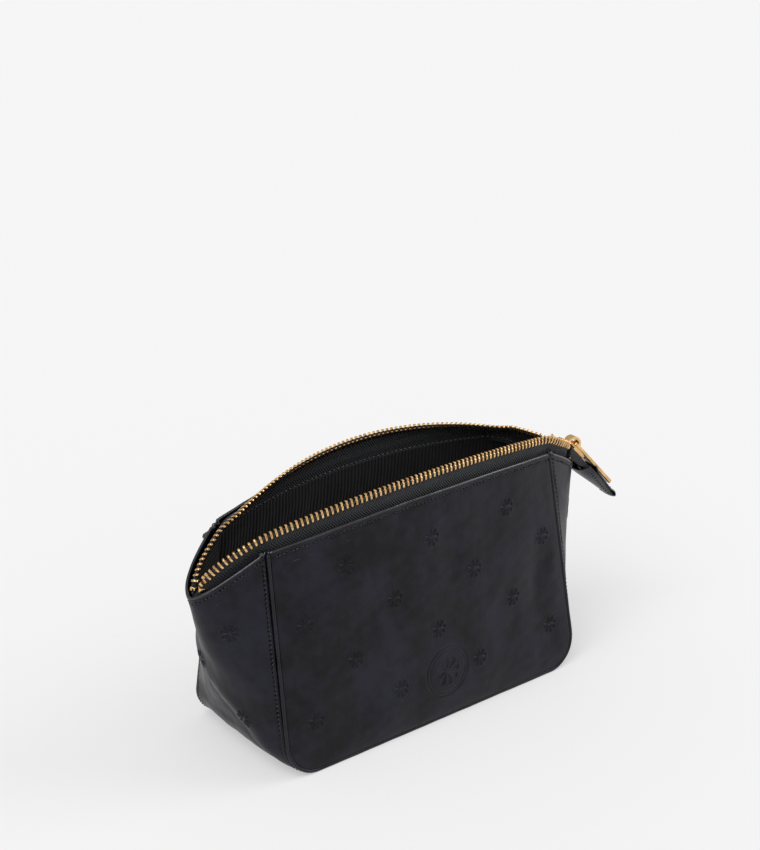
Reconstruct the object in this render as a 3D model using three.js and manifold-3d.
// Makeup bag: a small black leather zip pouch with flared side gussets, standing open on its base.
// Millimetres. +Z is up, +X is to the right and the front panel faces -Y.
// The origin is the centre of the base's underside, on the surface that the bag stands on.
// The brass zip starts at the left gusset's tip and ends in a folded leather tab past the right one's.

import * as THREE from "three";
import { mergeVertices } from "three/addons/utils/BufferGeometryUtils.js";
import Module from "manifold-3d";

const wasm = await Module();
wasm.setup();

// ---- Driving dimensions ----

const BASE_WIDTH = 170; // over the side seams, just above the base
const BASE_DEPTH = 75; // over the front and rear panels, at the base
const CORNER_RADIUS = 16; // of the seams' lower corners, in the front view
const CORNER_SHARE = 0.3; // share of the seam's parameter that runs round the corner
const SHOULDER_X = 82; // where the side seams meet the mouth
const SHOULDER_Z = 104;
const MOUTH_ARCH = 6; // rise of the panels' top edge in the middle
const BELLY = 2.5; // how far the panels swell at mid height
const TIP_X = 110; // the gussets' tips, where the zip begins and ends
const TIP_Z = 84;
// The powers by which a gusset's edge falls back from its tip and rises from it; 1 is pointed.
const LEFT_TIP = { round: 2, dip: 1.7 };
const RIGHT_TIP = { round: 2.6, dip: 2 };
const GUSSET_BELLY = 6; // how far the gussets swell at mid height

const LEATHER = 1.4;
const LINING = 0.6;
const CLEARANCE = 0.3; // between neighbouring pieces
const PIPING_RADIUS = 1.3;
const PIPING_INSET = PIPING_RADIUS + 0.2; // of the piping's centre line from the gussets' outer face
const PIPING_BACK = 1.0; // of the piping's centre line behind the panels' outer face
const PANEL_INSET = PIPING_INSET + PIPING_RADIUS + CLEARANCE;
const GUSSET_EDGE = PIPING_BACK + PIPING_RADIUS + CLEARANCE; // from the panels' outer face back
const LINING_DEPTH = LEATHER + 1.8; // the hem of the zip tape lies between leather and lining
const LINING_EDGE = PANEL_INSET + 2.4;
const LINING_TOP = 0.975; // share of the wall's height where the lining is sewn to the tape

// sign is the side of Y that the wall is on. The leans are how far the zip's bead stands in from the
// leather edge, and the rises how far above it: mid-mouth, at the shoulders, and extra over the left gusset.
const FRONT = {
  sign: -1,
  shoulderY: 19,
  bow: 8,
  midLean: 3,
  shoulderLean: 2.6,
  midRise: 8,
  shoulderRise: 6.6,
  gussetRise: 4.2,
};
const REAR = {
  sign: 1,
  shoulderY: 21.5,
  bow: 7,
  midLean: 3.5,
  shoulderLean: 10,
  midRise: 6.6,
  shoulderRise: 4.2,
  gussetRise: 1,
};

const TAPE = 0.6;
const HEM = 0.955; // share of the wall's height where the tape's hidden hem ends
const TOOTH_PITCH = 2.5;
const FIRST_TOOTH = 1.3; // how many of the zip line's spans come before the first tooth
const TOOTH_HEAD = 2.0; // bead to the tooth's head
const TOOTH_LEG = 1.3; // bead to the ends of the tooth's legs
const TOOTH_THICKNESS = 2.3;
const TOOTH_CORE = 1.4; // the bead's thickness between teeth

const SLIDER_X = 111; // the slider's middle, at the chain
const SLIDER_Z = 91;
const SLIDER_SLOPE = THREE.MathUtils.degToRad(47); // how far the zip's end points down
const SLIDER_LENGTH = 12.5;
const SLIDER_WIDTH = 11.4;
const CHAIN_HALF = 2.2; // bead to the zip's centre line where it is closed
const SLIDER_CHANNEL = 3.0; // clear height between the slider's plates
const SLIDER_PLATE = 1.1;
const FLANGE = 0.7; // the plates' turned-in sides
const PIVOT_HEIGHT = 4.2; // the pull's cross bar, above the chain
const BRIDGE_REACH = 4.2;
const BRIDGE_WIDTH = 2.6;
const BRIDGE_TOP = 6.9;

const PULL_LENGTH = 37;
const PULL_WIDTH = 6.4;
const PULL_THICKNESS = 1.6;
const PULL_EYE = [0.9, 5.7]; // the eye's ends, from the cross bar
const PULL_DROOP = THREE.MathUtils.degToRad(1.2);

const TEETH_END = 8.4; // along the zip's end, from the slider's middle
const TAB_START = 12.8;
const TAB_LOWER_START = 9;
const TAB_END = 45;
const TAB_WIDTH = 20;
const TAB_TIP_WIDTH = 9;
const TAB_LEATHER = 1.2;
const TAB_GAP = 0.75; // half of the space between the tab's two leaves

// ---- Materials ----

const finish = (name, color, roughness, metalness = 0) =>
  new THREE.MeshStandardMaterial({ name, color, roughness, metalness });
const leather = finish("leather", 0x1b1b1e, 0.45);
const lining = finish("lining", 0x0c0c0e, 0.8);
const webbing = finish("webbing", 0x131417, 0.85);
const brass = finish("brass", 0xd9a650, 0.28, 1);
const board = finish("board", 0x8a8378, 0.9);

const bag = new THREE.Group();
const add = (name, geometry, material, group = bag) => {
  const mesh = new THREE.Mesh(geometry, material);
  mesh.name = name;
  group.add(mesh);
  return mesh;
};

// ---- Geometry helpers ----

const lerp = THREE.MathUtils.lerp;
const vec = (x, y, z) => new THREE.Vector3(x, y, z);

// The point at a depth below surface(u, v), with u and v from 0 to 1. The surface's u and v directions
// turn right-handed about its outward normal.
function below(surface, u, v, depth) {
  const step = 1e-3;
  const alongU = surface(Math.min(u + step, 1), v).sub(surface(Math.max(u - step, 0), v));
  const alongV = surface(u, Math.min(v + step, 1)).sub(surface(u, Math.max(v - step, 0)));
  return surface(u, v).addScaledVector(alongU.cross(alongV).normalize(), -depth);
}

// A closed sheet whose outer face lies at a depth below a surface.
function sheet(surface, across, along, depth, thickness) {
  const geometry = new THREE.BoxGeometry(1, 1, 1, across, along, 1);
  const position = geometry.getAttribute("position");
  for (let i = 0; i < position.count; i++) {
    const inner = (0.5 - position.getZ(i)) * thickness;
    const place = below(surface, position.getX(i) + 0.5, position.getY(i) + 0.5, depth + inner);
    position.setXYZ(i, place.x, place.y, place.z);
  }
  return geometry;
}

function toSolid(geometry) {
  const bare = geometry.clone();
  bare.deleteAttribute("normal");
  bare.deleteAttribute("uv");
  const merged = mergeVertices(bare, 1e-4);
  return new wasm.Manifold(
    new wasm.Mesh({
      numProp: 3,
      vertProperties: merged.getAttribute("position").array,
      triVerts: new Uint32Array(merged.index.array),
    }),
  );
}

function toGeometry(solid) {
  const mesh = solid.getMesh();
  const geometry = new THREE.BufferGeometry();
  geometry.setAttribute("position", new THREE.BufferAttribute(mesh.vertProperties, mesh.numProp));
  geometry.setIndex(new THREE.BufferAttribute(mesh.triVerts, 1));
  return geometry;
}

const union = (...geometries) =>
  toGeometry(geometries.map(toSolid).reduce((whole, solid) => whole.add(solid)));

// A box given by its lowest and highest corners.
function block(low, high) {
  const size = high.map((h, i) => h - low[i]);
  const middle = high.map((h, i) => (h + low[i]) / 2);
  return new THREE.BoxGeometry(...size).translate(...middle);
}

// ---- The walls' surfaces ----

// The side seam's half-width and height, inset from the gusset's outer face, for v from 0, under the
// base, to 1, at the shoulder.
function seam(v, inset = 0) {
  const radius = CORNER_RADIUS - inset;
  if (v < CORNER_SHARE) {
    const angle = ((v / CORNER_SHARE) * Math.PI) / 2;
    return {
      x: BASE_WIDTH / 2 - CORNER_RADIUS + radius * Math.sin(angle),
      z: CORNER_RADIUS - radius * Math.cos(angle),
    };
  }
  const t = (v - CORNER_SHARE) / (1 - CORNER_SHARE);
  return {
    x: lerp(BASE_WIDTH / 2, SHOULDER_X, t) - inset,
    z: lerp(CORNER_RADIUS, SHOULDER_Z, t),
  };
}

const seamDepth = (wall, z) => lerp(BASE_DEPTH / 2, wall.shoulderY, z / SHOULDER_Z);

// A panel's outer face at s across, from -1 to 1, and v up.
function panelPoint(wall, s, v, inset = PANEL_INSET) {
  const edge = seam(v, inset);
  const crown = 1 - s * s;
  const upright = (v * v) / (v * v + 0.002); // the wall leaves the base seam square
  const swell = upright * (wall.bow * v ** 1.5 + BELLY * Math.sin(Math.PI * v));
  return vec(
    s * edge.x,
    wall.sign * (seamDepth(wall, edge.z) + crown * swell),
    edge.z + MOUTH_ARCH * crown * v * v,
  );
}

// A gusset's outer face at s across, from -1 at the front seam to 1 at the rear seam, and v up.
function gussetPoint(side, s, v, edgeInset = GUSSET_EDGE) {
  const edge = seam(v);
  const wall = s < 0 ? FRONT : REAR;
  const rise = Math.max(0, (edge.z - CORNER_RADIUS) / (SHOULDER_Z - CORNER_RADIUS));
  const tip = side < 0 ? LEFT_TIP : RIGHT_TIP;
  const across = Math.abs(s);
  const swell = GUSSET_BELLY * (1 - across ** 3) * Math.sin(Math.PI * v);
  const reach = (TIP_X - SHOULDER_X) * rise ** 1.2 * (1 - across ** tip.round);
  return vec(
    side * (edge.x + reach + swell),
    s * (seamDepth(wall, edge.z) - edgeInset),
    edge.z - (SHOULDER_Z - TIP_Z) * rise ** 1.5 * (1 - across ** tip.dip),
  );
}

// Both panels run u from their own left to their own right, seen from outside.
const panelFace = (wall, inset) => (u, v) => panelPoint(wall, wall.sign * (1 - 2 * u), v, inset);
const gussetFace = (side, inset) => (u, v) => gussetPoint(side, side * (2 * u - 1), v, inset);
const panelSheet = (wall, inset, depth, thickness) =>
  sheet(panelFace(wall, inset), 12, 9, depth, thickness);
const gussetSheet = (side, inset, depth, thickness) =>
  sheet(gussetFace(side, inset), 16, 9, depth, thickness);

function addShell() {
  add("front_panel", panelSheet(FRONT, PANEL_INSET, 0, LEATHER), leather);
  add("rear_panel", panelSheet(REAR, PANEL_INSET, 0, LEATHER), leather);
  add("left_gusset", gussetSheet(-1, GUSSET_EDGE, 0, LEATHER), leather);
  add("right_gusset", gussetSheet(1, GUSSET_EDGE, 0, LEATHER), leather);
}

function addLining() {
  const edge = GUSSET_EDGE + LEATHER + LINING;
  for (const [name, wall] of [["front_lining", FRONT], ["rear_lining", REAR]]) {
    const face = panelFace(wall, LINING_EDGE);
    const hemmed = (u, v) => face(u, v * LINING_TOP);
    add(name, sheet(hemmed, 12, 9, LINING_DEPTH, LINING), lining);
  }
  for (const [name, side] of [["left_gusset_lining", -1], ["right_gusset_lining", 1]]) {
    const face = gussetFace(side, edge);
    const hemmed = (u, v) => face(u, v * LINING_TOP);
    add(name, sheet(hemmed, 16, 9, LINING_DEPTH, LINING), lining);
  }
}

// The base's flat leather, the board that keeps it flat, and the lining over the board.
function addBase() {
  const halfWidth = BASE_WIDTH / 2 - CORNER_RADIUS - CLEARANCE;
  const halfDepth = BASE_DEPTH / 2 - GUSSET_EDGE;
  const innerDepth = BASE_DEPTH / 2 - LINING_DEPTH - LINING - 3 * CLEARANCE;
  const layers = [
    ["base_panel", halfDepth, 0, LEATHER, leather],
    ["base_board", innerDepth, LEATHER + CLEARANCE, 1.5, board],
    ["base_lining", innerDepth, LEATHER + 2 * CLEARANCE + 1.5, LINING, lining],
  ];
  for (const [name, depth, bottom, thickness, material] of layers) {
    add(name, block([-halfWidth, -depth, bottom], [halfWidth, depth, bottom + thickness]), material);
  }
}

// A leather-covered cord along each panel's sides and bottom.
function addPiping(name, wall) {
  const points = [];
  const place = (side, v) => {
    const edge = seam(v, PIPING_INSET);
    return vec(side * edge.x, wall.sign * (seamDepth(wall, edge.z) - PIPING_BACK), edge.z);
  };
  const steps = 12;
  for (let i = steps; i >= 0; i--) points.push(place(-1, i / steps));
  for (const share of [-0.8, -0.4, 0, 0.4, 0.8]) {
    points.push(place(1, 0).setX(share * (BASE_WIDTH / 2 - CORNER_RADIUS)));
  }
  for (let i = 0; i <= steps; i++) points.push(place(1, i / steps));
  const round = new THREE.Shape().absarc(0, 0, PIPING_RADIUS, 0, 2 * Math.PI);
  const geometry = new THREE.ExtrudeGeometry(round, {
    extrudePath: new THREE.CatmullRomCurve3(points),
    steps: 52,
    curveSegments: 4,
  });
  add(name, geometry, leather);
}

// ---- The zip ----

// The zip's end frame: x runs down the closed zip away from the mouth, z is up off its face.
const zipEnd = new THREE.Matrix4()
  .makeRotationY(SLIDER_SLOPE)
  .setPosition(SLIDER_X, 0, SLIDER_Z);
const atZipEnd = (x, y, z) => vec(x, y, z).applyMatrix4(zipEnd);

// The tape's lines from the left tip over the mouth to the tab: the hem and the edge, inside the leather,
// and the bead, which the teeth grip.
function zipLines(wall) {
  const { sign, midLean, shoulderLean, midRise, shoulderRise, gussetRise } = wall;
  const lines = { hem: [], edge: [], bead: [] };
  const inside = (LEATHER + LINING_DEPTH) / 2;
  const rim = (surface, u, bead, depth = inside) => {
    lines.hem.push(below(surface, u, HEM, depth));
    lines.edge.push(below(surface, u, 1, depth));
    lines.bead.push(bead);
  };
  const gussetInside = inside + CLEARANCE;
  const gussetRim = (side, share, tipRise, tipReach) => {
    const edge = gussetPoint(side, sign * share, 1, 0);
    const squeeze = side > 0 ? 8 * (1 - share) ** 2 : 0; // the tapes close up towards the slider
    const lean = shoulderLean * share + squeeze;
    const out = Math.max(Math.abs(edge.y) - lean, CHAIN_HALF * 1.3);
    const extra = side < 0 ? gussetRise * Math.sin(Math.PI * share) : 0;
    const x = edge.x - side * lerp(tipReach, 0.5, share);
    const z = edge.z + lerp(tipRise, shoulderRise, share) + extra;
    const u = (1 + side * sign * share) / 2;
    rim(gussetFace(side, GUSSET_EDGE), u, vec(x, sign * out, z), gussetInside);
  };
  for (const share of [0.06, 0.2, 0.35, 0.5, 0.65, 0.8, 0.94]) gussetRim(-1, share, 2.4, 4.8);
  for (let i = -8; i <= 8; i++) {
    const s = i * 0.12;
    const bead = panelPoint(wall, s, 1, 0);
    bead.y -= sign * lerp(midLean, shoulderLean, s * s);
    bead.z += lerp(midRise, shoulderRise, s * s);
    rim(panelFace(wall), (1 - sign * s) / 2, bead);
  }
  for (const share of [0.97, 0.93, 0.83, 0.71, 0.6]) gussetRim(1, share, 8.5, -1);
  const beforeSlider = atZipEnd(-9, sign * 4.7, 0.1);
  rim(gussetFace(1, GUSSET_EDGE), (1 + sign * 0.5) / 2, beforeSlider, gussetInside);
  // Past the gusset's edge the tape hangs down beside the slider, then runs flat into the tab.
  const zipEndPoints = [
    { bead: [-6.5, 3.8, 0], edge: [-6.5, 7, 0.1], hem: [-4.2, 7.3, -3.9] },
    { bead: [-3, 2.9, 0], edge: [-2.5, 6.4, 0], hem: [-0.8, 7.2, -3.9] },
    { bead: [0, 2.45, 0], edge: [0.3, 6.3, 0], hem: [1.8, 7, -3.6] },
    { bead: [3, CHAIN_HALF, 0], edge: [3.3, 6.3, 0], hem: [5, 6.9, -3.4] },
    { bead: [TEETH_END, CHAIN_HALF, 0], edge: [TEETH_END, 6, 0], hem: [9.2, 6.7, -2.1] },
    { bead: [TAB_START, CHAIN_HALF, 0], edge: [TAB_START, 5.6, 0], hem: [13.4, 6.8, -1.6] },
    { bead: [TAB_START + 7, CHAIN_HALF, 0], edge: [TAB_START + 7, 5, 0], hem: [19.8, 7, -0.8] },
  ];
  for (const points of zipEndPoints) {
    for (const [name, [x, y, z]] of Object.entries(points)) {
      lines[name].push(atZipEnd(x, sign * y, z));
    }
  }
  const [hem, edge, bead] = [lines.hem, lines.edge, lines.bead].map(
    (points) => new THREE.CatmullRomCurve3(points),
  );
  return { hem, edge, bead, rows: lines.bead.length - 1 };
}

// The bead's place, its forward direction, and the direction in which the teeth point, square to it.
function beadFrame(lines, run) {
  const place = lines.bead.getPoint(run);
  const forward = lines.bead.getTangent(run);
  const head = place.clone().sub(lines.edge.getPoint(run));
  head.addScaledVector(forward, -head.dot(forward)).normalize();
  return { place, forward, head, face: forward.clone().cross(head) };
}

// The tape stops short of the teeth's legs.
function addTape(name, wall, lines) {
  const surface = (u, v) => {
    const run = wall.sign < 0 ? u : 1 - u;
    const edge = lines.edge.getPoint(run);
    if (v < 0.5) return lines.hem.getPoint(run).lerp(edge, 2 * v);
    const { place, head } = beadFrame(lines, run);
    return edge.lerp(place.addScaledVector(head, -TOOTH_LEG - 0.5), 2 * v - 1);
  };
  add(name, sheet(surface, 2 * lines.rows, 2, -TAPE / 2, TAPE), webbing);
}

// The parameters along the bead of evenly pitched stations between the first and the last tooth.
function toothStations(lines) {
  const samples = 1200;
  const toZipEnd = zipEnd.clone().invert();
  const first = FIRST_TOOTH / lines.rows;
  const run = [first];
  const travelled = [0];
  let last = lines.bead.getPoint(first);
  for (let i = 1; i <= samples; i++) {
    const here = lerp(first, 1, i / samples);
    const place = lines.bead.getPoint(here);
    if (place.clone().applyMatrix4(toZipEnd).x > TEETH_END) break;
    travelled.push(travelled.at(-1) + place.distanceTo(last));
    run.push(here);
    last = place;
  }
  const steps = 2 * Math.round(travelled.at(-1) / TOOTH_PITCH);
  return Array.from({ length: steps + 1 }, (_, i) => {
    const target = (travelled.at(-1) * i) / steps;
    return run[travelled.findIndex((distance) => distance >= target - 1e-6)];
  });
}

// One side's teeth and the bead they grip, as one comb: the cross-section swells at each tooth.
function addTeeth(name, lines) {
  const stations = toothStations(lines);
  const steps = stations.length - 1;
  const geometry = new THREE.BoxGeometry(1, 1, 1, steps, 1, 1);
  const position = geometry.getAttribute("position");
  const core = TOOTH_CORE / 2;
  for (let i = 0; i < position.count; i++) {
    const step = Math.round((position.getX(i) + 0.5) * steps);
    const swollen = step % 2 === 1;
    const { place, head, face } = beadFrame(lines, stations[step]);
    const [front, back, half] = swollen ? [TOOTH_HEAD, TOOTH_LEG, TOOTH_THICKNESS / 2] : [core, core, core];
    place.addScaledVector(head, position.getY(i) > 0 ? front : -back);
    place.addScaledVector(face, Math.sign(position.getZ(i)) * half);
    position.setXYZ(i, place.x, place.y, place.z);
  }
  add(name, geometry, brass);
}

// A brass clamp on the bead before the first tooth.
function addTopStop(name, lines) {
  const { place, forward, head, face } = beadFrame(lines, FIRST_TOOTH / lines.rows);
  const frame = new THREE.Matrix4().makeBasis(forward, head, face);
  frame.setPosition(place.addScaledVector(forward, -1.1 - CLEARANCE));
  add(name, block([-1, 0.3, -1.1], [1, 1.9, 1.1]).applyMatrix4(frame), brass);
}

// ---- The zip's end: slider, pull, bottom stop and leather tab, in the zip end's frame ----

function addSlider() {
  const end = SLIDER_LENGTH / 2;
  const side = SLIDER_WIDTH / 2;
  const inside = SLIDER_CHANNEL / 2;
  const outside = inside + SLIDER_PLATE;
  const lip = TAPE / 2 + CLEARANCE;
  const arch = new THREE.Shape()
    .moveTo(-BRIDGE_REACH, outside - 0.2)
    .lineTo(-BRIDGE_REACH + 1.3, outside - 0.2)
    .lineTo(-BRIDGE_REACH + 1.3, 4.6)
    .lineTo(-1.9, BRIDGE_TOP - 1.3)
    .lineTo(1.9, BRIDGE_TOP - 1.3)
    .lineTo(BRIDGE_REACH - 1.3, 4.6)
    .lineTo(BRIDGE_REACH - 1.3, outside - 0.2)
    .lineTo(BRIDGE_REACH, outside - 0.2)
    .lineTo(BRIDGE_REACH, 5)
    .lineTo(2.4, BRIDGE_TOP)
    .lineTo(-2.4, BRIDGE_TOP)
    .lineTo(-BRIDGE_REACH, 5);
  const bridge = new THREE.ExtrudeGeometry(arch, { depth: BRIDGE_WIDTH, bevelEnabled: false })
    .translate(0, 0, -BRIDGE_WIDTH / 2)
    .rotateX(Math.PI / 2);
  const parts = [
    bridge,
    block([-end, -side, inside], [end, side, outside]),
    block([-end, -side, -outside], [end, side, -inside]),
    block([-end + 0.2, -0.5, -outside + 0.2], [-end + 2.6, 0.5, outside - 0.2]),
  ];
  for (const y of [-side, side - FLANGE]) {
    parts.push(block([-end + 3, y, lip], [end, y + FLANGE, outside - 0.2]));
    parts.push(block([-end + 3, y, -outside + 0.2], [end, y + FLANGE, -lip]));
  }
  add("zip_slider", union(...parts).applyMatrix4(zipEnd), brass);
}

// The pull's frame: its cross bar is the origin, and it points along x.
function addPull() {
  const half = PULL_WIDTH / 2;
  const outline = new THREE.Shape()
    .moveTo(-0.9, -half)
    .lineTo(PULL_LENGTH - 2.5, -half)
    .lineTo(PULL_LENGTH - 0.7, -half + 0.7)
    .lineTo(PULL_LENGTH, -half + 2.5)
    .lineTo(PULL_LENGTH, half - 2.5)
    .lineTo(PULL_LENGTH - 0.7, half - 0.7)
    .lineTo(PULL_LENGTH - 2.5, half)
    .lineTo(-0.9, half);
  const [near, far] = PULL_EYE;
  const eye = new THREE.Path()
    .moveTo(near, -BRIDGE_WIDTH / 2 - 0.5)
    .lineTo(far, -BRIDGE_WIDTH / 2 - 0.5)
    .lineTo(far, BRIDGE_WIDTH / 2 + 0.5)
    .lineTo(near, BRIDGE_WIDTH / 2 + 0.5);
  outline.holes.push(eye);
  const pull = new THREE.ExtrudeGeometry(outline, { depth: PULL_THICKNESS, bevelEnabled: false })
    .translate(0, 0, -PULL_THICKNESS / 2)
    .rotateY(PULL_DROOP)
    .translate(0, 0, PIVOT_HEIGHT);
  add("zip_pull", pull.applyMatrix4(zipEnd), brass);
}

function addBottomStop() {
  const stop = block(
    [TEETH_END + TOOTH_PITCH / 2, -CHAIN_HALF - 1, -TOOTH_THICKNESS / 2 - 0.4],
    [TAB_START - 0.6, CHAIN_HALF + 1, TOOTH_THICKNESS / 2 + 0.4],
  );
  add("bottom_stop", stop.applyMatrix4(zipEnd), brass);
}

// A folded strip: the upper leaf lies on the tape, and the lower leaf sags back to the gusset's tip.
function addTab() {
  const upper = TAB_GAP + TAB_LEATHER;
  const profile = new THREE.CatmullRomCurve3([
    vec(TAB_START, 0, upper),
    vec(22, 0, upper),
    vec(34, 0, upper),
    vec(TAB_END - 2.2, 0, upper - 0.1),
    vec(TAB_END, 0, 0),
    vec(TAB_END - 2.2, 0, -upper + 0.1),
    vec(36, 0, -upper - 0.4),
    vec(26, 0, -upper - 2),
    vec(17, 0, -upper - 3.1),
    vec(TAB_LOWER_START, 0, -upper - 3.2),
  ]);
  const surface = (u, v) => {
    const point = profile.getPoint(v);
    const taper = THREE.MathUtils.smoothstep(point.x, TAB_START, TAB_END - 4);
    const width = lerp(TAB_WIDTH, TAB_TIP_WIDTH, taper);
    return atZipEnd(point.x, (0.5 - u) * width, point.z);
  };
  add("zip_end_tab", sheet(surface, 1, 36, 0, TAB_LEATHER), leather);
}

addShell();
addLining();
addBase();
addPiping("front_piping", FRONT);
addPiping("rear_piping", REAR);
for (const [side, wall] of [["front", FRONT], ["rear", REAR]]) {
  const lines = zipLines(wall);
  addTape(`${side}_zip_tape`, wall, lines);
  addTeeth(`${side}_zip_teeth`, lines);
  addTopStop(`${side}_top_stop`, lines);
}
addSlider();
addPull();
addBottomStop();
addTab();

export default bag;
